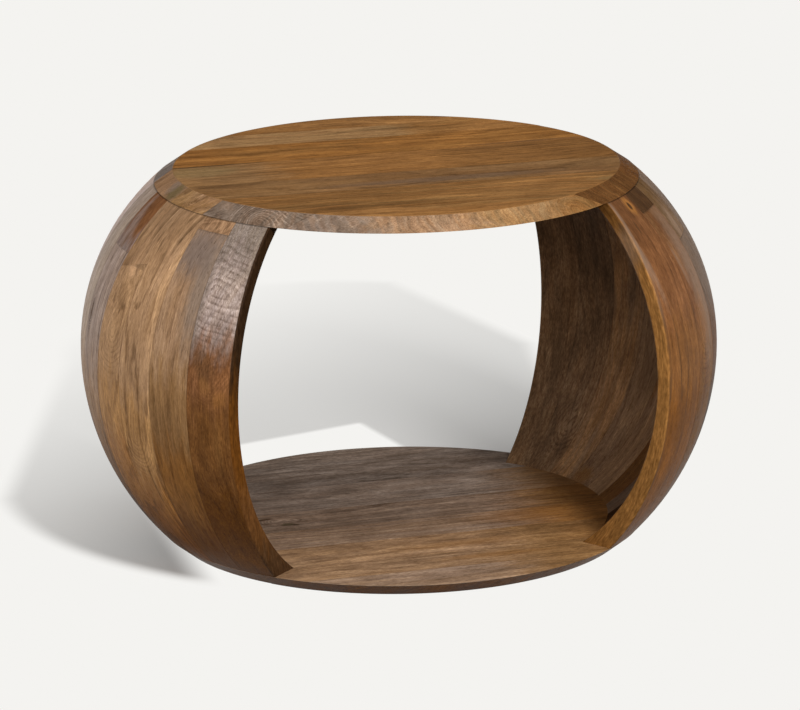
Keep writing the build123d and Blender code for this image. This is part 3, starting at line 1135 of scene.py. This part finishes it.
LEFT_BOARDS = {
    "1": front_board(
        "russet",
        tones=(
            (0, "chestnut", 0.62), (130, "russet", 0.82), (240, "brick", 0.95),
            # From 312 mm up the plum and slate are partly painted sheen
            (312, "plum", 1.05), (345, "plum", 1.12), (395, "slate", 0.95),
        ),
        streak="umber", drift="amber", blend=0.25, follow=0.3, streaks=0.25, rings=0.25,
        mottle=0.8, ring_width=5.0,
        loops=(
            loops(14, 366, 70, 58, 101, spacing=6.5, tail=0.26, strength=0.62),
            loops(0, 268, 34, 30, 40, spacing=4.0, tail=0.3, strength=-0.3),
        ),
        patches=(
            patch("slate", 30, 368, 7, 60, share=0.7, depth=0.85, softness=0.6),
            patch("umber", 10, 286, 20, 12, share=0.5, depth=1.0, turn=60),
            patch("golden", 6, 262, 7, 12, share=0.35, depth=1.2, turn=-30),
            patch("amber", -18, 250, 8, 10, share=0.35, depth=1.0, turn=40),
            patch("golden", -12, 195, 5, 30, share=0.35, depth=1.0),
        ),
        cut_face=(
            (0, "umber", 0.75), (60, "russet", 0.75), (140, "chestnut", 0.8),
            (215, "chestnut", 0.62), (270, "umber", 0.35),
        ),
    ),
    "2_lower": front_board(
        "tan",
        tones=(
            (0, "chestnut", 0.65), (85, "amber", 0.88), (180, "tan", 0.86), (275, "sand", 0.87),
            (350, "sand", 0.85),
        ),
        streak="sand", drift="russet", drift_share=0.2, blend=0.3, pith=(60, -70),
        patches=(
            patch("slate", -22, 372, 15, 62, share=0.75, depth=0.92, softness=0.7),
            patch("plum", 6, 402, 28, 26, share=0.85, depth=0.5, softness=0.7),
        ),
    ),
    "2_upper": front_board(
        "copper", depth=0.86, streak="sand", streaks=0.25, mottle=0.9,
        loops=(loops(30, 418, 70, 40, 75, spacing=3.2, tail=0.2, strength=0.6),),
    ),
    "3": front_board(
        "sand",
        tones=(
            (0, "chestnut", 0.95), (75, "amber", 1.1), (125, "tan", 1.38), (225, "sand", 1.1),
            (400, "sand", 0.85),
        ),
        streak="tan", drift="tan", blend=0.3, pith=(20, -90), rings=0.5, ring_width=6.0,
        loops=(loops(4, 176, 34, 52, 8, spacing=5.0, tail=0.12, strength=0.4),),
    ),
    "4_lower": front_board(
        "sand",
        tones=(
            (0, "chestnut", 0.68), (75, "amber", 0.92), (125, "golden", 1.4), (175, "tan", 1.4),
            (240, "sand", 1.1),
        ),
        streak="tan", drift="tan", blend=0.3, pith=(-20, -100), follow=0.6, rings=0.4,
        ring_width=7.0, loops=(loops(-4, 292, 42, 58, 22, spacing=6.0, tail=0.3, strength=0.35),),
        patches=(patch("sand", -4, 364, 10, 6, share=0.75, depth=1.7, turn=35, softness=0.3),),
        high_slant=-0.013,
    ),
    "4_upper": front_board(
        "sand", tones=((0, "sand", 0.95), (400, "sand", 0.76)), streak="tan", drift="russet",
        drift_share=0.2, rings=0.5, low_slant=-0.013,
    ),
    "5_lower": front_board(
        "plum",
        tones=(
            # The very dark foot is partly painted shade where the wall meets the base
            (0, "chestnut", 0.28), (88, "golden", 0.68), (175, "sand", 0.9), (230, "plum", 1.15),
        ),
        tone_blend=60.0, streak="ash", drift="ash", rings=0.5,
        loops=(loops(18, 300, 10, 24, 0, spacing=3.0, tail=0.4, strength=0.9),),
        patches=(
            patch("umber", 18, 300, 3.5, 11, share=0.9, depth=0.9, softness=0.4, wobble=0.3),
        ),
    ),
    "5_upper": front_board(
        "russet", tones=((0, "plum", 0.85), (388, "brick", 1.0)), streak="umber", drift="umber",
        drift_share=0.25, streaks=0.35,
        patches=(patch("plum", 12, 405, 8, 26, share=0.5, depth=1.0),),
    ),
    "6": front_board(
        "plum",
        tones=(
            # The dark foot is partly painted shade; the slate from 250 mm up is partly painted
            # sheen
            (0, "chestnut", 0.45), (180, "sand", 0.95), (250, "slate", 2.0), (370, "slate", 1.65),
        ),
        tone_blend=60.0, streak="slate", drift="ash",
    ),
    "7": board(
        "sand",
        # The plum from 210 mm up is partly painted sheen
        tones=((0, "golden", 0.78), (120, "sand", 0.88), (210, "plum", 1.4), (330, "plum", 1.7)),
        tone_blend=60.0, streak="ash", drift="ash", streaks=0.3,
    ),
    "8_lower": board(
        # The plum from 290 mm up is partly painted sheen
        "sand", tones=((0, "golden", 0.8), (150, "sand", 0.9), (290, "plum", 1.45)),
        tone_blend=60.0, streak="ash",
    ),
    # This pale ash is partly painted sheen
    "8_upper": board("ash", depth=1.8),
    "9": board("russet", depth=1.1, streak="tan"),
    "10": board("tan", depth=0.8, streak="russet"),
}

RIGHT_BOARDS = {
    "1": front_board(
        "russet",
        tones=(
            (0, "chestnut", 0.8), (130, "chestnut", 0.82), (215, "russet", 0.95),
            (300, "brick", 1.02), (370, "brick", 0.88), (400, "brick", 0.62),
        ),
        streak="golden", drift="umber", drift_share=0.2, streaks=0.25, fibre=0.5, mottle=0.7,
        pith=(-70, -40), rings=0.35, ring_width=12.0, wander=20.0, pores=0.3,
        cut_face=(
            (0, "honey", 0.66), (150, "honey", 0.76), (330, "honey", 0.74), (400, "amber", 0.62),
        ),
        # Painted highlight along the front arris: umber low down, pale ash from 322 mm up
        arris=((0, "umber", 0.9), (322, "ash", 0.95)),
        patches=(
            patch("amber", 19, 424, 8, 9, share=0.7, depth=1.2),
            patch("umber", 19, 424, 3, 4, share=0.95, depth=0.5, softness=0.3, wobble=0.2),
            patch("umber", 0, 404, 1.5, 7, share=0.8, depth=0.6, softness=0.4),
            patch("umber", -14, 262, 1.3, 62, share=0.6, depth=0.8, turn=2, softness=0.5),
            patch("umber", 5, 222, 1.5, 54, share=0.6, depth=0.8, turn=-2, softness=0.5),
            patch("umber", 24, 196, 1.2, 40, share=0.5, depth=0.8, turn=3, softness=0.5),
            # Painted highlight beside the arris, high up
            patch("ash", -24, 372, 5, 44, share=0.5, depth=1.0, turn=4, softness=0.7),
        ),
    ),
    "2_lower": board(
        "russet",
        tones=(
            (0, "chestnut", 0.6), (160, "chestnut", 0.66), (225, "russet", 0.9),
            (290, "brick", 0.95), (372, "brick", 0.8),
        ),
        streak="golden", drift="ash", blend=0.25, streaks=0.22, rings=0.2, fibre=0.4, mottle=0.8,
        pores=0.2,
        patches=(
            # These two ash patches are partly painted sheen
            patch("ash", 14, 322, 20, 84, share=0.75, depth=0.95, softness=0.7),
            patch("ash", -16, 350, 4, 24, share=0.4, depth=1.1, turn=8),
            patch("russet", 2, 280, 12, 30, share=0.4, depth=1.2, softness=0.7),
        ),
        loops=(loops(0, 268, 20, 88, 0, spacing=5.5, tail=0.07, strength=0.55),), seams=0.2,
    ),
    "2_upper": board("umber", depth=0.6, streak="russet", drift="umber"),
    "3_lower": board(
        # The ash from 290 mm up is partly painted sheen
        "ash", tones=((0, "chestnut", 0.22), (195, "russet", 0.6), (290, "ash", 0.62)),
        streak="russet", drift="tan", blend=0.25, streaks=0.3, seams=0.2,
    ),
    "3_upper": front_board(
        "sand", tones=((0, "sand", 0.5), (405, "tan", 0.42)), streak="tan",
        # The ash patch is partly painted sheen
        patches=(patch("ash", -6, 385, 10, 20, share=0.5, depth=1.2),),
    ),
    "4": board("ash", depth=0.75, streak="russet", drift="slate", streaks=0.3),
    "5": board("russet", streak="umber", drift="ash"),
    "6_lower": board(
        "golden", tones=((0, "sand", 0.97), (130, "golden", 1.08), (240, "russet", 1.0)),
        streak="amber",
    ),
    "6_upper": board("umber", depth=1.05, streak="russet"),
    "7": board(
        "golden",
        tones=((0, "sand", 0.9), (110, "walnut", 2.3), (225, "walnut", 1.5), (340, "walnut", 1.2)),
        streak="amber", drift="umber", drift_share=0.3, streaks=0.3, mottle=0.8,
        patches=(patch("honey", 6, 22, 16, 9, share=0.6, depth=0.8),),
    ),
    "8": board(
        "walnut",
        tones=(
            (0, "sand", 0.85), (130, "walnut", 2.1), (250, "walnut", 1.7), (330, "walnut", 1.35),
        ),
        streak="golden", drift="golden", streaks=0.15, fibre=0.5, mottle=1.0,
        patches=(patch("golden", 4, 92, 10, 26, share=0.4, depth=0.8),),
    ),
    "9_lower": board(
        "walnut", tones=((0, "walnut", 2.2), (140, "walnut", 1.6), (240, "walnut", 1.1)),
        streak="umber", drift="grey", streaks=0.12, fibre=0.45, mottle=1.2,
        loops=(loops(-6, 62, 24, 34, 20, spacing=5.0, tail=0.3, strength=0.7),),
    ),
    "9_upper": board("walnut", depth=1.3, streak="umber", mottle=0.9),
    "10": board(
        "walnut", tones=((0, "walnut", 1.9), (200, "walnut", 1.7), (260, "walnut", 1.3)),
        streak="umber", drift="grey", streaks=0.12, fibre=0.45, mottle=1.2,
    ),
}


# ---------------------------------------------------------------- planks


def make_planks(prefix, boards, joints, disc, turn, sizes, stains):
    """Makes one disc's planks. disc is its lower and upper radius, low, high and arris radius."""
    below, above, low, high, arris_radius = disc
    outside = 2 * BELLY_RADIUS
    limits = [-outside, *joints, outside]
    for number, look in enumerate(boards, start=1):
        node = f"{prefix}_plank_{number}"
        front, back = limits[number - 1], limits[number]
        values = {
            "Radius below": below,
            "Radius above": above,
            "Low": low,
            "High": high,
            "Front joint": front,
            "Back joint": back,
            "Turn": turn,
            "Joint arris": sizes.joint_arris,
            "Outer arris": sizes.disc_arris,
            "Outer arris radius": arris_radius,
            "Widest arris": max(sizes.disc_arris, sizes.joint_arris),
            "Wood": board_wood(node, look, stains),
        }
        mesh = grow(named_tree("Disc plank", plank_tree), values, node)
        x, y, z = point_array(mesh).T
        along = x * math.cos(turn) + y * math.sin(turn)
        across = y * math.cos(turn) - x * math.sin(turn)
        middle = (max(front, -below) + min(back, below)) / 2
        store_in_mm(mesh, "grain", [across - middle, z - high, along])
        far = np.ones(len(x))
        front_gap = across - front if number > 1 else far
        back_gap = back - across if number < len(boards) else far
        store_in_mm(mesh, "seam", [front_gap, back_gap, far])
        place_piece(mesh, node)


# ---------------------------------------------------------------- staves


def stave_values(side, number, look, sizes):
    """The inputs of the stave tree that hang on the wall, the stave's number and its look."""
    front, back = stave_bearings(side, sizes)[number - 1 : number + 1]
    front_raked = side == RIGHT and number == 1
    back_raked = side == RIGHT and number == STAVES_PER_WALL
    radii = {
        f"{face} {place}": radius
        for face, at_heights in zip(FACES, wall_faces(sizes))
        for place, radius in zip(HEIGHTS, at_heights)
    }
    return {
        **radii,
        "Side": float(side),
        "Front bearing": front,
        "Back bearing": back,
        "Front rake turn": sizes.front_rake_turn if front_raked else 0.0,
        "Front rake lean": sizes.front_rake_lean if front_raked else 0.0,
        "Back rake lean": sizes.back_rake_lean if back_raked else 0.0,
        "Low slant": look["low_slant"],
        "High slant": look["high_slant"],
        "Belly height": sizes.belly_height,
        "Unevenness": sizes.unevenness,
        "Joint arris": sizes.joint_arris,
        "Front arris": sizes.opening_arris if number == 1 else sizes.joint_arris,
        "Back arris": sizes.opening_arris if number == STAVES_PER_WALL else sizes.joint_arris,
        "Widest arris": max(sizes.opening_arris, sizes.joint_arris),
    }


def make_wall(side, boards, sizes, stains):
    """Makes every stave of one wall."""
    outer, _ = wall_faces(sizes)
    belly = outer[0]
    for key, look in boards.items():
        number = int(key.split("_")[0])
        node = f"{SIDE_NAMES[side]}_stave_{key}"
        low, high = BASE_TOP, WALL_TOP
        if key.endswith("_lower"):
            high -= UPPER_BLOCKS[side][number]
        if key.endswith("_upper"):
            low = WALL_TOP - UPPER_BLOCKS[side][number]
        values = {
            **stave_values(side, number, look, sizes),
            "Low": low,
            "High": high,
            "Cells up": max(2, round((high - low) / CELL_HEIGHT)) + 1,
            "Wood": board_wood(node, look, stains),
        }
        mesh = grow(named_tree("Barrel stave", stave_tree), values, node)

        # Each point's place on its board, whose depth follows the bulge of the outer face
        x, y, height = point_array(mesh).T
        front, back = values["Front bearing"], values["Back bearing"]
        radius = np.hypot(x, y)
        bearing = np.arctan2(side * x, -y)
        off_middle = bearing - (front + back) / 2
        bulge = face_radius(height, outer, sizes.belly_height) - belly
        depth = radius * np.cos(off_middle) - belly - look["follow"] * bulge
        store_in_mm(mesh, "grain", [radius * np.sin(off_middle), depth, height])

        # How far it is from the stave's front, its back and its upper end
        into_wall = front + QUARTER_TURN - values["Front rake turn"]
        leant = math.tan(values["Front rake lean"]) * (height - sizes.belly_height)
        past_belly = (belly * math.cos(front - into_wall) + leant) / radius
        front_gap = radius * (bearing - into_wall + np.arccos(np.clip(past_belly, -1, 1)))
        store_in_mm(mesh, "seam", [front_gap, radius * (back - bearing), high - height])
        place_piece(mesh, node)


# ---------------------------------------------------------------- operators


def settings():
    """The scene's drum table settings: sizes, stains and studio."""
    scene = bpy.context.scene
    return scene.drum_table_sizes, scene.drum_table_stains, scene.drum_table_studio


class DRUMTABLE_OT_top(bpy.types.Operator):
    """Make the seven planks of the bevelled top"""

    bl_idname = "drum_table.make_top"
    bl_label = "Make Top"

    def execute(self, context):
        sizes, stains, _ = settings()
        disc = (sizes.top_rim, sizes.top_flat, WALL_TOP, TABLE_TOP, sizes.top_flat)
        make_planks("top", TOP_BOARDS, TOP_JOINTS, disc, sizes.top_turn, sizes, stains)
        return {"FINISHED"}


class DRUMTABLE_OT_base(bpy.types.Operator):
    """Make the seven planks of the base"""

    bl_idname = "drum_table.make_base"
    bl_label = "Make Base"

    def execute(self, context):
        sizes, stains, _ = settings()
        disc = (sizes.base_foot, sizes.base_rim, 0.0, BASE_TOP, sizes.base_foot)
        make_planks("base", BASE_BOARDS, BASE_JOINTS, disc, sizes.base_turn, sizes, stains)
        return {"FINISHED"}


class DRUMTABLE_OT_walls(bpy.types.Operator):
    """Make the staves of the left and the right wall"""

    bl_idname = "drum_table.make_walls"
    bl_label = "Make Walls"

    def execute(self, context):
        sizes, stains, _ = settings()
        make_wall(LEFT, LEFT_BOARDS, sizes, stains)
        make_wall(RIGHT, RIGHT_BOARDS, sizes, stains)
        return {"FINISHED"}


class DRUMTABLE_OT_dowels(bpy.types.Operator):
    """Finish the hidden dowels in bare wood"""

    bl_idname = "drum_table.finish_dowels"
    bl_label = "Finish Dowels"

    def execute(self, context):
        _, stains, _ = settings()
        bare, tree = new_material("Bare dowel wood")
        place = add_node(tree, "ShaderNodeTexCoord")["Object"]
        fibres = noise(tree, place, DOWEL_FIBRE, 3.0, 0.6)
        light = stain_colour("dowel", stains)
        dark = stain_colour("dowel", stains, 0.6)
        finish = {
            "Base Color": mix(tree, fibres.ramp(0.35, 0.65), dark, light),
            "Roughness": 0.55 + fibres * 0.2,
        }
        shader = add_node(tree, "ShaderNodeBsdfPrincipled", finish)["BSDF"]
        add_node(tree, "ShaderNodeOutputMaterial", {"Surface": shader})
        for node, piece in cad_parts.items():
            if node.endswith("dowels"):
                piece.data.materials.clear()
                piece.data.materials.append(bare)
        return {"FINISHED"}


class DRUMTABLE_OT_stage(bpy.types.Operator):
    """Set the pale floor, the soft light and the camera"""

    bl_idname = "drum_table.set_stage"
    bl_label = "Set Stage"

    def execute(self, context):
        _, _, studio = settings()
        floor = make_floor(studio)
        make_light(studio, floor)
        make_camera(studio)
        context.scene.view_settings.view_transform = "Standard"
        return {"FINISHED"}


# ---------------------------------------------------------------- stage

FLOOR_HALF = 20.0

# The shadow lies within two circles and what is between them: x, y and radius, in metres
NEAR_SHADOW = (0.074, 0.231, 0.53)
FAR_SHADOW = (0.085, 0.86, 0.365)
SHADOW_EDGE = (0.01, -0.03)
# How much shadow a metre to the right adds, and a metre to the back
SHADOW_FADE = (0.70, -0.77)
# It ends at three lines: (a, b, c) is the line a x + b y = c, and past it the sum is above c
RIGHT_OF_NEAR_SIDE = (1.0, -0.12, 0.27)
RIGHT_OF_FAR_SIDE = (0.963, 0.269, 0.565)
BEFORE_RIGHT_FOOT = (0.6, -0.8, 0.17)
SHADOW_ENDS = (RIGHT_OF_NEAR_SIDE, RIGHT_OF_FAR_SIDE, BEFORE_RIGHT_FOOT)
# So does the painted lit patch behind the base; each line has the half width of its soft edge
BEHIND_PATCH, BEHIND_SOFTNESS = (-0.35, 1.0, 0.447), 0.008
RIGHT_OF_PATCH, RIGHT_SOFTNESS = (1.0, 0.23, 0.156), 0.007
LEFT_OF_PATCH, LEFT_SOFTNESS = (-1.0, 0.0, 0.275), 0.025
PAINTED_LIT_ENDS = (
    (BEHIND_PATCH, BEHIND_SOFTNESS),
    (RIGHT_OF_PATCH, RIGHT_SOFTNESS),
    (LEFT_OF_PATCH, LEFT_SOFTNESS),
)


def past(line, x, y):
    """How far a place on the floor is past a line."""
    a, b, c = line
    return x * a + y * b - c


def outside_shadow(x, y):
    """How far a place on the floor is outside the shadow's outline; below zero inside it."""
    (near_x, near_y, near_radius), (far_x, far_y, far_radius) = NEAR_SHADOW, FAR_SHADOW
    run_x, run_y = far_x - near_x, far_y - near_y
    travelled = ((x - near_x) * run_x + (y - near_y) * run_y) / (run_x**2 + run_y**2)
    travelled = travelled.of("MAXIMUM", 0.0).of("MINIMUM", 1.0)
    off_x = x - near_x - travelled * run_x
    off_y = y - near_y - travelled * run_y
    outside = (off_x * off_x + off_y * off_y).of("SQRT") - near_radius
    outside = outside - travelled * (far_radius - near_radius)
    for line in SHADOW_ENDS:
        outside = outside.of("MAXIMUM", past(line, x, y))
    return outside


def make_floor(studio):
    """A wide pale floor that takes the table's shadow, with a painted lit patch behind the base."""
    corners = [(x * FLOOR_HALF, y * FLOOR_HALF, 0) for x, y in ((-1, -1), (1, -1), (1, 1), (-1, 1))]
    mesh = bpy.data.meshes.new("Floor")
    mesh.from_pydata(corners, [], [(0, 1, 2, 3)])
    floor = add_object("Floor", mesh)
    paint, tree = new_material("Pale floor")
    pale = (*studio.floor_colour, 1)
    bounced = (*[studio.floor_bounce] * 3, 1)
    path = add_node(tree, "ShaderNodeLightPath")
    seen = path["Is Camera Ray"].of("MAXIMUM", path["Is Glossy Ray"])
    seen = seen.of("MAXIMUM", path["Is Transmission Ray"])
    paint_colour = mix(tree, seen, bounced, pale)
    matt = add_node(tree, "ShaderNodeBsdfDiffuse", {"Color": paint_colour, "Roughness": 0.0})[0]
    glow = add_node(tree, "ShaderNodeEmission", {"Color": pale, "Strength": 1.0})[0]

    # The shadow shows behind the table, fading with distance into the even glow; the floor is clean
    # elsewhere
    x, y, _ = split_vector(add_node(tree, "ShaderNodeTexCoord")["Object"])
    to_right, to_back = SHADOW_FADE
    faded = studio.shadow_depth + x * to_right + y * to_back
    faded = faded.of("MINIMUM", 1.0).of("MAXIMUM", 0.0)
    shaded = outside_shadow(x, y).ramp(*SHADOW_EDGE) * faded
    # Painted light: where light falls through the opening behind the base, the floor shows its even
    # glow
    lit = 1.0
    for line, softness in PAINTED_LIT_ENDS:
        lit = past(line, x, y).ramp(softness, -softness) * lit
    shown = seen * (1.0 - shaded * (1.0 - lit))
    both = add_node(tree, "ShaderNodeMixShader", {0: shown, 1: matt, 2: glow})[0]
    add_node(tree, "ShaderNodeOutputMaterial", {"Surface": both})
    mesh.materials.append(paint)
    return floor


def bearing_vector(azimuth, elevation):
    """Direction from the table at an azimuth, to the right above zero, and a height angle."""
    level = math.cos(elevation)
    return Vector((math.sin(azimuth) * level, -math.cos(azimuth) * level, math.sin(elevation)))


def hang_lamp(lamp, azimuth, elevation, distance):
    """Sets a lamp at a bearing from the middle of the table, facing it."""
    holder = add_object(lamp.name, lamp)
    towards = bearing_vector(azimuth, elevation)
    facing = towards.to_track_quat("Z", "Y").to_matrix().to_4x4()
    place = Vector((0, 0, TABLE_TOP / 2)) + towards * distance
    holder.matrix_world = Matrix.Translation(place) @ facing
    return holder


# How far to the back, from 0 to 1, the room begins to darken, and where it is darkest
DARK_FROM = (0.15, 0.85)
FILL_DISTANCE = 3.0


def make_light(studio, floor):
    """A soft room, brighter above and darker behind, a key lamp and a soft lamp at the left."""
    world = bpy.data.worlds.new("Studio")
    bpy.context.scene.world = world
    world.use_nodes = True
    tree = world.node_tree
    tree.nodes.clear()
    _, behind, up = split_vector(add_node(tree, "ShaderNodeTexCoord")["Generated"])
    above = up.of("MAXIMUM", 0.0)
    room = studio.room_light + (studio.ceiling_light - studio.room_light) * above
    strength = room * (1.0 - behind.ramp(*DARK_FROM) * studio.dark_behind)
    white = {"Color": (1, 1, 1, 1), "Strength": strength}
    light = add_node(tree, "ShaderNodeBackground", white)[0]
    add_node(tree, "ShaderNodeOutputWorld", {"Surface": light})

    key = bpy.data.lights.new("Key", "AREA")
    key.shape = "DISK"
    key.size = studio.key_width
    key.energy = studio.key_power
    hang_lamp(key, studio.key_azimuth, studio.key_elevation, studio.key_distance)

    soft = bpy.data.lights.new("Fill", "SUN")
    soft.energy = studio.fill_strength
    soft.angle = studio.fill_angle
    fill = hang_lamp(soft, studio.fill_azimuth, studio.fill_elevation, FILL_DISTANCE)
    unlit = bpy.data.collections.new("Not lit by the fill")
    unlit.objects.link(floor)
    fill.light_linking.receiver_collection = unlit
    unlit.collection_objects[0].light_linking.link_state = "EXCLUDE"


SENSOR_WIDTH = 36.0
CAMERA_SHIFT = 0.00127
CAMERA_REACH = 100.0


def make_camera(studio):
    """The camera, at its azimuth and elevation, turned by its roll."""
    back = bearing_vector(studio.camera_azimuth, studio.camera_elevation)
    data = bpy.data.cameras.new("Camera")
    data.sensor_width = SENSOR_WIDTH
    data.lens = studio.focal_length
    data.shift_x = CAMERA_SHIFT
    data.clip_end = CAMERA_REACH
    camera = add_object("Camera", data)
    level = back.to_track_quat("Z", "Y").to_matrix()
    rolled = (level @ Matrix.Rotation(-studio.camera_roll, 3, "Z")).to_4x4()
    place = Vector((0, 0, studio.aim_height)) + back * studio.camera_distance
    camera.matrix_world = Matrix.Translation(place) @ rolled
    bpy.context.scene.camera = camera


# ---------------------------------------------------------------- panel and registration

OPERATORS = (
    DRUMTABLE_OT_top,
    DRUMTABLE_OT_base,
    DRUMTABLE_OT_walls,
    DRUMTABLE_OT_dowels,
    DRUMTABLE_OT_stage,
)


class DRUMTABLE_PT_panel(bpy.types.Panel):
    """Lists what the drum table is made of"""

    bl_idname = "DRUMTABLE_PT_panel"
    bl_label = "Drum Table"
    bl_space_type = "VIEW_3D"
    bl_region_type = "UI"
    bl_category = "Drum Table"

    def draw(self, context):
        for operator in OPERATORS:
            self.layout.operator(operator.bl_idname)
        for group in settings():
            box = self.layout.box()
            for name in group.bl_rna.properties.keys():
                if name not in ("name", "rna_type"):
                    box.prop(group, name)


GROUPS = {
    "drum_table_sizes": DrumTableSizes,
    "drum_table_stains": DrumTableStains,
    "drum_table_studio": DrumTableStudio,
}


def register():
    """Adds the classes and the scene's settings."""
    for name, group in GROUPS.items():
        bpy.utils.register_class(group)
        setattr(bpy.types.Scene, name, PointerProperty(type=group))
    for kind in (*OPERATORS, DRUMTABLE_PT_panel):
        bpy.utils.register_class(kind)


def unregister():
    """Removes them again."""
    for kind in reversed((*OPERATORS, DRUMTABLE_PT_panel)):
        bpy.utils.unregister_class(kind)
    for name, group in reversed(GROUPS.items()):
        delattr(bpy.types.Scene, name)
        bpy.utils.unregister_class(group)


def main():
    """Makes the whole table and its stage."""
    register()
    bpy.ops.drum_table.make_top()
    bpy.ops.drum_table.make_base()
    bpy.ops.drum_table.make_walls()
    bpy.ops.drum_table.finish_dowels()
    bpy.ops.drum_table.set_stage()
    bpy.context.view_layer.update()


if __name__ == "__main__":
    main()
